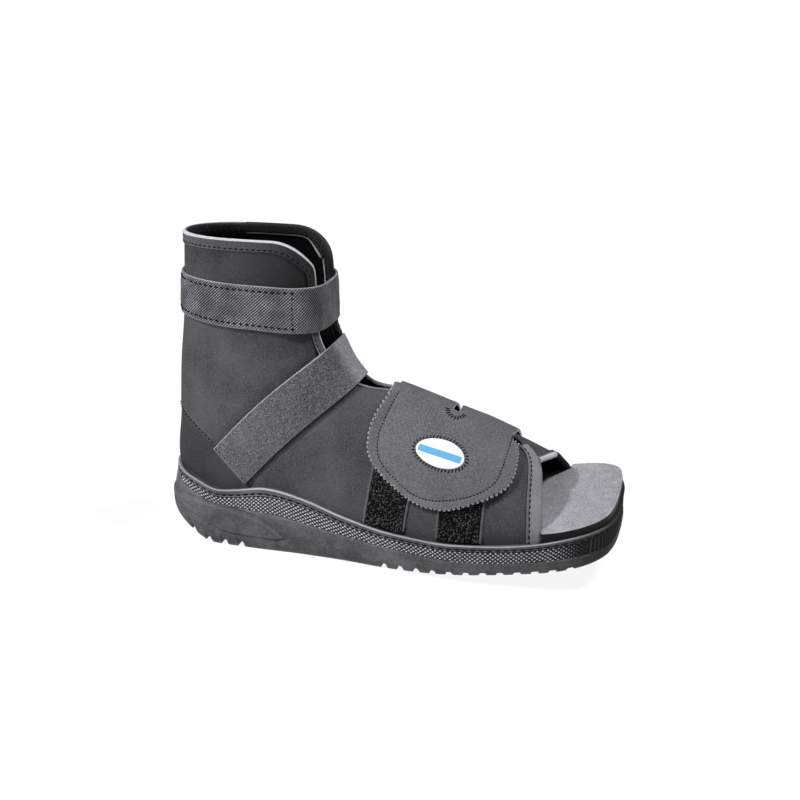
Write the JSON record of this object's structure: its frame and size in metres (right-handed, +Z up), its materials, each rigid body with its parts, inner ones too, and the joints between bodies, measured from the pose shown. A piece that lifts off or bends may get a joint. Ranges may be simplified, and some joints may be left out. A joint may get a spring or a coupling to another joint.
{
  "type": "cast boot",
  "caption": "Open-toe padded boot worn over a plaster cast, with a rubber cup sole, a front-opening cloth upper, an ankle strap, a slanted instep strap and a closing forefoot flap.",
  "frame": {"origin": "middle of the sole's length and width, on the ground under the tread", "axes": "+X towards the toe, +Y towards the far side with -Y the side that carries the flap's free edge, +Z up"},
  "size_m": [0.2916, 0.1068, 0.1969],
  "materials": {
    "sole_rubber": "matte",
    "insole_cover": "matte",
    "quarter_cloth": "matte",
    "heel_cloth": "matte",
    "binding_tape": "matte",
    "strap_twill": "matte",
    "strap_knit": "matte",
    "flap_felt": "matte",
    "loop_pile": "matte",
    "badge_cloth": "satin"
  },
  "bodies": {
    "root": {"sole_unit": "sole_rubber", "insole": "insole_cover", "quarter_near": "quarter_cloth", "quarter_far": "quarter_cloth", "heel_counter": "heel_cloth", "collar_binding": "binding_tape", "toe_binding_near": "binding_tape", "toe_binding_far": "binding_tape", "ankle_strap": "strap_twill", "instep_strap": "strap_knit", "forefoot_flap": "flap_felt", "loop_strip_rear": "loop_pile", "loop_strip_front": "loop_pile", "oval_badge": "badge_cloth"}
  },
  "joints": []
}
